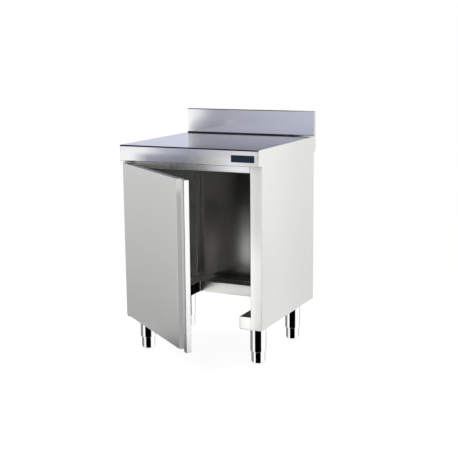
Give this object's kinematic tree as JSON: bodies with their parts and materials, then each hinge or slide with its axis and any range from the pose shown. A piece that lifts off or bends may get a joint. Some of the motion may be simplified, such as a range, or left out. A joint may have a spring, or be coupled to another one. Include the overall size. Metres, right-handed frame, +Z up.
{
  "type": "waste bin cabinet",
  "caption": "Open-bottomed stainless steel cabinet for a roll-in waste bin: worktop with upstand, double-skinned side-hung door with a full-height finger grip, levelling legs.",
  "frame": {"origin": "on the floor, at the middle of the whole object's box with the door standing ajar as stored", "axes": "+X to the right seen from the front, +Y from the door to the upstand, +Z up"},
  "size_m": [0.6, 0.9482, 0.964],
  "materials": {
    "worktop_steel": "fine satin brushed along the front edge",
    "body_steel": "fine satin",
    "door_steel": "fine satin, brushed upright",
    "plain_steel": "mill finish, out of sight",
    "polished_steel": "polished",
    "zinc_steel": "zinc plated",
    "core_board": "sound-deadening board",
    "grey_nylon": "moulded",
    "white_nylon": "moulded",
    "black_rubber": "matte",
    "magnet": "ferrite with steel poles"
  },
  "bodies": {
    "cabinet": {"worktop": "worktop_steel", "front_stiffener": "plain_steel", "rear_stiffener": "plain_steel", "left_top_angle": "plain_steel", "right_top_angle": "plain_steel", "left_side_panel": "body_steel", "right_side_panel": "body_steel", "front_top_rail": "body_steel", "back_panel": "body_steel", "left_rear_post": "body_steel", "right_rear_post": "body_steel", "left_bottom_channel": "body_steel", "right_bottom_channel": "body_steel", "rear_bottom_channel": "body_steel", "front_left_leg_plate": "zinc_steel", "front_left_leg_nut": "zinc_steel", "front_left_leg_sleeve": "polished_steel", "front_left_leg_guide": "grey_nylon", "front_right_leg_plate": "zinc_steel", "front_right_leg_nut": "zinc_steel", "front_right_leg_sleeve": "polished_steel", "front_right_leg_guide": "grey_nylon", "rear_left_leg_plate": "zinc_steel", "rear_left_leg_nut": "zinc_steel", "rear_left_leg_sleeve": "polished_steel", "rear_left_leg_guide": "grey_nylon", "rear_right_leg_plate": "zinc_steel", "rear_right_leg_nut": "zinc_steel", "rear_right_leg_sleeve": "polished_steel", "rear_right_leg_guide": "grey_nylon", "upper_hinge_bracket": "zinc_steel", "lower_hinge_bracket": "zinc_steel", "upper_hinge_pin": "polished_steel", "lower_hinge_pin": "polished_steel", "catch_case": "white_nylon", "catch_magnet": "magnet"},
    "door": {"door_outer_skin": "door_steel", "door_inner_skin": "door_steel", "door_core": "core_board", "door_top_cap": "door_steel", "door_bottom_cap": "door_steel", "door_upper_bush": "white_nylon", "door_lower_bush": "white_nylon", "strike_plate": "zinc_steel", "upper_door_bumper": "black_rubber", "lower_door_bumper": "black_rubber"},
    "front_left_leveller": {"front_left_foot": "polished_steel"},
    "front_right_leveller": {"front_right_foot": "polished_steel"},
    "rear_left_leveller": {"rear_left_foot": "polished_steel"},
    "rear_right_leveller": {"rear_right_foot": "polished_steel"}
  },
  "joints": [
    {"name": "door_hinge", "type": "hinge", "parent": "cabinet", "child": "door", "pos_m": [-0.281, -0.11189, 0.474], "axis": [0, 0, -1], "range_deg": [-38, 72]},
    {"name": "front_left_levelling", "type": "slide", "parent": "cabinet", "child": "front_left_leveller", "axis": [0, 0, -1], "range_m": [0, 0.03]},
    {"name": "front_right_levelling", "type": "slide", "parent": "cabinet", "child": "front_right_leveller", "axis": [0, 0, -1], "range_m": [0, 0.03]},
    {"name": "rear_left_levelling", "type": "slide", "parent": "cabinet", "child": "rear_left_leveller", "axis": [0, 0, -1], "range_m": [0, 0.03]},
    {"name": "rear_right_levelling", "type": "slide", "parent": "cabinet", "child": "rear_right_leveller", "axis": [0, 0, -1], "range_m": [0, 0.03]}
  ]
}
